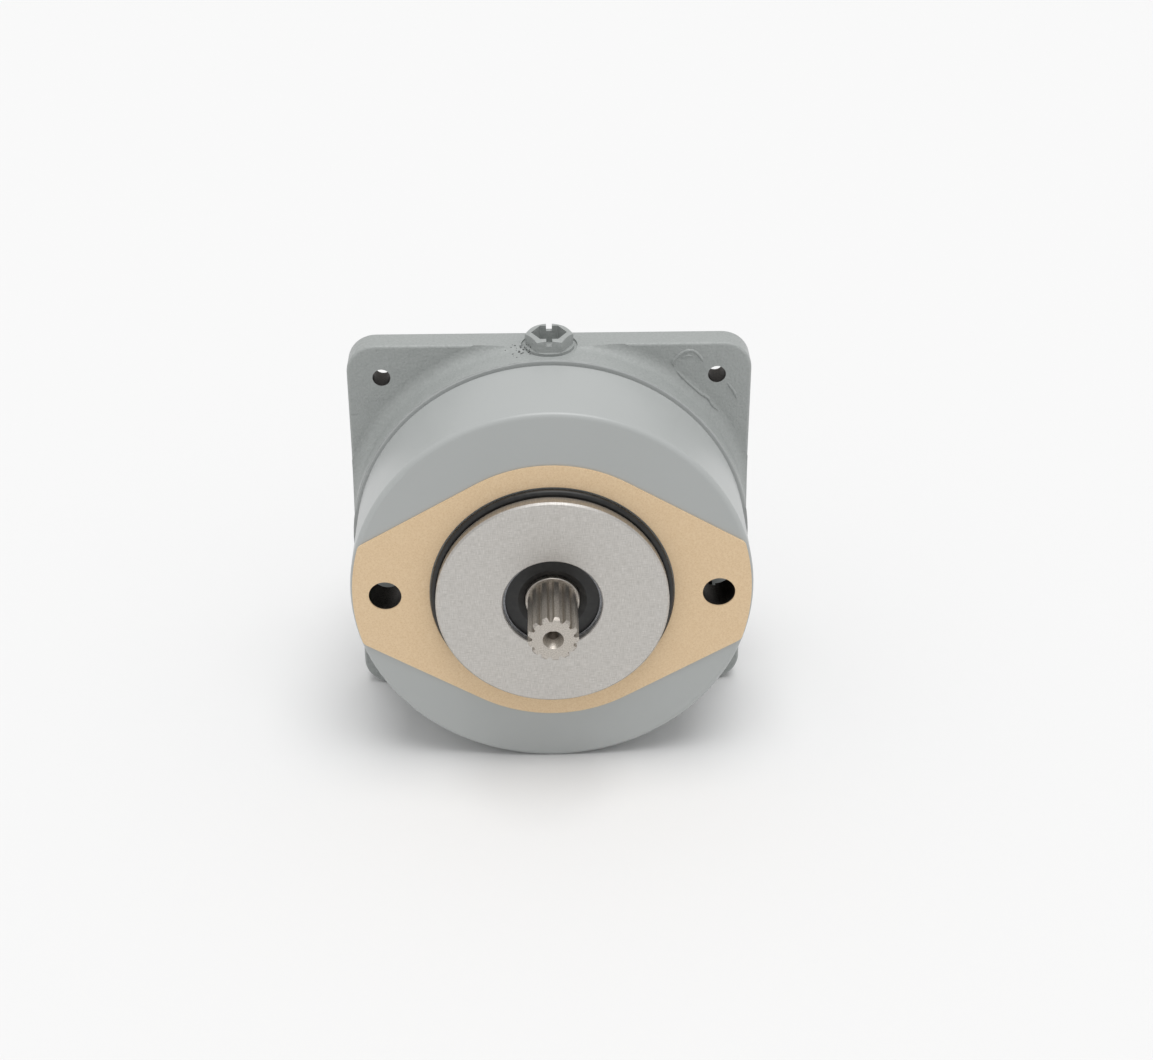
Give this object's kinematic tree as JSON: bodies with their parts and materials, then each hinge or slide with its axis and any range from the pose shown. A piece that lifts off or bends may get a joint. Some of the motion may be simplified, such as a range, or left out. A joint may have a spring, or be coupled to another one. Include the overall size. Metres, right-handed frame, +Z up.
{
  "type": "axial piston pump",
  "caption": "Variable swash-plate axial piston pump with a two-bolt pilot flange, splined shaft, square rear plate, ported rear block and pressure compensator.",
  "frame": {"origin": "centre of the housing's mounting face, on the shaft axis", "axes": "-Y along the shaft towards its splined end, +Y towards the rear ports, +X across the two mounting bolts, +Z up through the drain plug"},
  "size_m": [0.1802, 0.175, 0.1861],
  "materials": {
    "black_oxide": "black oxide",
    "block_paint": "light grey enamel over a casting",
    "bronze": "bearing bronze",
    "cast_paint": "light grey enamel over a casting",
    "gasket_paper": "fibre paper",
    "hard_steel": "ground hardened steel",
    "plug_steel": "plated steel",
    "rubber": "moulded nitrile rubber",
    "shaft_steel": "machined steel",
    "spring_steel": "drawn spring steel"
  },
  "bodies": {
    "housing": {"housing": "cast_paint", "mounting_gasket": "gasket_paper", "pilot_o_ring": "rubber", "shaft_seal": "rubber", "seal_retaining_ring": "spring_steel", "front_bearing_outer_race": "hard_steel", "bearing_retaining_ring": "spring_steel", "case_drain_plug": "plug_steel", "saddle_bearings": "bronze", "valve_plate": "bronze", "port_block_gasket": "gasket_paper", "port_block": "block_paint", "port_block_screws": "black_oxide", "rear_bearing_cup": "hard_steel", "stop_screw_locknut": "black_oxide", "compensator_body": "block_paint", "compensator_screws": "black_oxide", "compensator_end_plug": "hard_steel", "compensator_bonnet": "hard_steel", "adjuster_locknut": "black_oxide", "bias_spring": "spring_steel", "compensator_spring": "spring_steel"},
    "shaft": {"drive_shaft": "shaft_steel", "front_bearing_inner_race": "hard_steel", "ball_guide": "hard_steel", "cylinder_barrel": "hard_steel", "hold_down_pins": "hard_steel", "spring_washers": "hard_steel", "barrel_spring": "spring_steel", "barrel_snap_ring": "spring_steel"},
    "bearing_balls": {"front_bearing_balls": "hard_steel", "front_bearing_cage": "bronze"},
    "rear_needles": {"rear_bearing_needles": "hard_steel"},
    "swash": {"swash_plate": "hard_steel"},
    "retainer": {"shoe_retainer": "hard_steel"},
    "control_piston": {"control_piston": "hard_steel"},
    "bias_plunger": {"bias_plunger": "hard_steel"},
    "stop_pad": {"stop_screw_pad": "hard_steel"},
    "stop_screw": {"volume_stop_screw": "black_oxide"},
    "spool": {"compensator_spool": "hard_steel"},
    "spring_seat": {"compensator_spring_seat": "hard_steel"},
    "adjuster": {"adjuster_screw": "black_oxide"},
    "slipper_1": {"slipper_1": "hard_steel"},
    "piston_1": {"piston_1": "hard_steel"},
    "slipper_2": {"slipper_2": "hard_steel"},
    "piston_2": {"piston_2": "hard_steel"},
    "slipper_3": {"slipper_3": "hard_steel"},
    "piston_3": {"piston_3": "hard_steel"},
    "slipper_4": {"slipper_4": "hard_steel"},
    "piston_4": {"piston_4": "hard_steel"},
    "slipper_5": {"slipper_5": "hard_steel"},
    "piston_5": {"piston_5": "hard_steel"},
    "slipper_6": {"slipper_6": "hard_steel"},
    "piston_6": {"piston_6": "hard_steel"},
    "slipper_7": {"slipper_7": "hard_steel"},
    "piston_7": {"piston_7": "hard_steel"},
    "slipper_8": {"slipper_8": "hard_steel"},
    "piston_8": {"piston_8": "hard_steel"},
    "slipper_9": {"slipper_9": "hard_steel"},
    "piston_9": {"piston_9": "hard_steel"}
  },
  "joints": [
    {"name": "shaft_spin", "type": "hinge", "parent": "housing", "child": "shaft", "pos_m": [0, 0, 0], "axis": [0, 1, 0], "continuous": true},
    {"name": "bearing_spin", "type": "hinge", "parent": "housing", "child": "bearing_balls", "pos_m": [0, 0, 0], "axis": [0, 1, 0], "continuous": true},
    {"name": "needle_spin", "type": "hinge", "parent": "housing", "child": "rear_needles", "pos_m": [0, 0, 0], "axis": [0, 1, 0], "continuous": true},
    {"name": "swash_tilt", "type": "hinge", "parent": "housing", "child": "swash", "pos_m": [0, 0.052, 0], "axis": [1, 0, 0], "range_deg": [-15, 0], "stiffness_Nm_per_rad": 20, "springref_deg": 5.73},
    {"name": "retainer_spin", "type": "hinge", "parent": "swash", "child": "retainer", "pos_m": [0, 0.052, 0], "axis": [0, 0.9659, 0.2588], "continuous": true},
    {"name": "control_piston_slide", "type": "slide", "parent": "housing", "child": "control_piston", "axis": [0, 1, 0], "range_m": [-0.0154, 0]},
    {"name": "bias_plunger_slide", "type": "slide", "parent": "housing", "child": "bias_plunger", "axis": [0, 1, 0], "range_m": [0, 0.01519], "deforming": ["bias_spring"]},
    {"name": "stop_screw_advance", "type": "slide", "parent": "housing", "child": "stop_pad", "axis": [0, 1, 0], "range_m": [0, 0.0035]},
    {"name": "stop_screw_turn", "type": "hinge", "parent": "stop_pad", "child": "stop_screw", "pos_m": [0, 0.12, -0.057], "axis": [0, 1, 0], "range_deg": [-900, 0]},
    {"name": "spool_slide", "type": "slide", "parent": "housing", "child": "spool", "axis": [1, 0, 0], "range_m": [0, 0.002], "stiffness_N_per_m": 20000, "springref_m": -0.0005, "deforming": ["compensator_spring"]},
    {"name": "adjuster_advance", "type": "slide", "parent": "housing", "child": "spring_seat", "axis": [1, 0, 0], "range_m": [0, 0.0025], "deforming": ["compensator_spring"]},
    {"name": "adjuster_turn", "type": "hinge", "parent": "spring_seat", "child": "adjuster", "pos_m": [0.07, 0.114, -0.065], "axis": [1, 0, 0], "range_deg": [-760, 0]},
    {"name": "slipper_1_spin", "type": "hinge", "parent": "retainer", "child": "slipper_1", "pos_m": [0, 0.04384, 0.03047], "axis": [0, 0.9659, 0.2588], "continuous": true},
    {"name": "piston_1_tilt", "type": "hinge", "parent": "slipper_1", "child": "piston_1", "pos_m": [0, 0.04384, 0.03047], "axis": [1, 0, 0], "range_deg": [0, 15]},
    {"name": "slipper_2_spin", "type": "hinge", "parent": "retainer", "child": "slipper_2", "pos_m": [-0.02027, 0.04575, 0.02334], "axis": [0, 0.9659, 0.2588], "continuous": true},
    {"name": "piston_2_tilt", "type": "hinge", "parent": "slipper_2", "child": "piston_2", "pos_m": [-0.02027, 0.04575, 0.02334], "axis": [1, 0, 0], "range_deg": [0, 15]},
    {"name": "slipper_3_spin", "type": "hinge", "parent": "retainer", "child": "slipper_3", "pos_m": [-0.03106, 0.05058, 0.00529], "axis": [0, 0.9659, 0.2588], "continuous": true},
    {"name": "piston_3_tilt", "type": "hinge", "parent": "slipper_3", "child": "piston_3", "pos_m": [-0.03106, 0.05058, 0.00529], "axis": [1, 0, 0], "range_deg": [0, 15]},
    {"name": "slipper_4_spin", "type": "hinge", "parent": "retainer", "child": "slipper_4", "pos_m": [-0.02732, 0.05608, -0.01523], "axis": [0, 0.9659, 0.2588], "continuous": true},
    {"name": "piston_4_tilt", "type": "hinge", "parent": "slipper_4", "child": "piston_4", "pos_m": [-0.02732, 0.05608, -0.01523], "axis": [1, 0, 0], "range_deg": [0, 15]},
    {"name": "slipper_5_spin", "type": "hinge", "parent": "retainer", "child": "slipper_5", "pos_m": [-0.01079, 0.05967, -0.02863], "axis": [0, 0.9659, 0.2588], "continuous": true},
    {"name": "piston_5_tilt", "type": "hinge", "parent": "slipper_5", "child": "piston_5", "pos_m": [-0.01079, 0.05967, -0.02863], "axis": [1, 0, 0], "range_deg": [0, 15]},
    {"name": "slipper_6_spin", "type": "hinge", "parent": "retainer", "child": "slipper_6", "pos_m": [0.01079, 0.05967, -0.02863], "axis": [0, 0.9659, 0.2588], "continuous": true},
    {"name": "piston_6_tilt", "type": "hinge", "parent": "slipper_6", "child": "piston_6", "pos_m": [0.01079, 0.05967, -0.02863], "axis": [1, 0, 0], "range_deg": [0, 15]},
    {"name": "slipper_7_spin", "type": "hinge", "parent": "retainer", "child": "slipper_7", "pos_m": [0.02732, 0.05608, -0.01523], "axis": [0, 0.9659, 0.2588], "continuous": true},
    {"name": "piston_7_tilt", "type": "hinge", "parent": "slipper_7", "child": "piston_7", "pos_m": [0.02732, 0.05608, -0.01523], "axis": [1, 0, 0], "range_deg": [0, 15]},
    {"name": "slipper_8_spin", "type": "hinge", "parent": "retainer", "child": "slipper_8", "pos_m": [0.03106, 0.05058, 0.00529], "axis": [0, 0.9659, 0.2588], "continuous": true},
    {"name": "piston_8_tilt", "type": "hinge", "parent": "slipper_8", "child": "piston_8", "pos_m": [0.03106, 0.05058, 0.00529], "axis": [1, 0, 0], "range_deg": [0, 15]},
    {"name": "slipper_9_spin", "type": "hinge", "parent": "retainer", "child": "slipper_9", "pos_m": [0.02027, 0.04575, 0.02334], "axis": [0, 0.9659, 0.2588], "continuous": true},
    {"name": "piston_9_tilt", "type": "hinge", "parent": "slipper_9", "child": "piston_9", "pos_m": [0.02027, 0.04575, 0.02334], "axis": [1, 0, 0], "range_deg": [0, 15]}
  ],
  "couplings": [
    {"joint": "bearing_spin", "follows": "shaft_spin", "ratio": 0.4},
    {"joint": "needle_spin", "follows": "shaft_spin", "ratio": 0.45},
    {"joint": "retainer_spin", "follows": "shaft_spin", "ratio": 1},
    {"joint": "control_piston_slide", "follows": "swash_tilt", "m_per_rad": 0.058746},
    {"joint": "bias_plunger_slide", "follows": "swash_tilt", "m_per_rad": -0.057935},
    {"joint": "stop_screw_turn", "follows": "stop_screw_advance", "rad_per_m": -4188.8},
    {"joint": "adjuster_turn", "follows": "adjuster_advance", "rad_per_m": -5026.5},
    {"joint": "slipper_1_spin", "follows": "shaft_spin", "ratio": -1},
    {"joint": "piston_1_tilt", "follows": "swash_tilt", "ratio": -1},
    {"joint": "slipper_2_spin", "follows": "shaft_spin", "ratio": -1},
    {"joint": "piston_2_tilt", "follows": "swash_tilt", "ratio": -1},
    {"joint": "slipper_3_spin", "follows": "shaft_spin", "ratio": -1},
    {"joint": "piston_3_tilt", "follows": "swash_tilt", "ratio": -1},
    {"joint": "slipper_4_spin", "follows": "shaft_spin", "ratio": -1},
    {"joint": "piston_4_tilt", "follows": "swash_tilt", "ratio": -1},
    {"joint": "slipper_5_spin", "follows": "shaft_spin", "ratio": -1},
    {"joint": "piston_5_tilt", "follows": "swash_tilt", "ratio": -1},
    {"joint": "slipper_6_spin", "follows": "shaft_spin", "ratio": -1},
    {"joint": "piston_6_tilt", "follows": "swash_tilt", "ratio": -1},
    {"joint": "slipper_7_spin", "follows": "shaft_spin", "ratio": -1},
    {"joint": "piston_7_tilt", "follows": "swash_tilt", "ratio": -1},
    {"joint": "slipper_8_spin", "follows": "shaft_spin", "ratio": -1},
    {"joint": "piston_8_tilt", "follows": "swash_tilt", "ratio": -1},
    {"joint": "slipper_9_spin", "follows": "shaft_spin", "ratio": -1},
    {"joint": "piston_9_tilt", "follows": "swash_tilt", "ratio": -1}
  ]
}
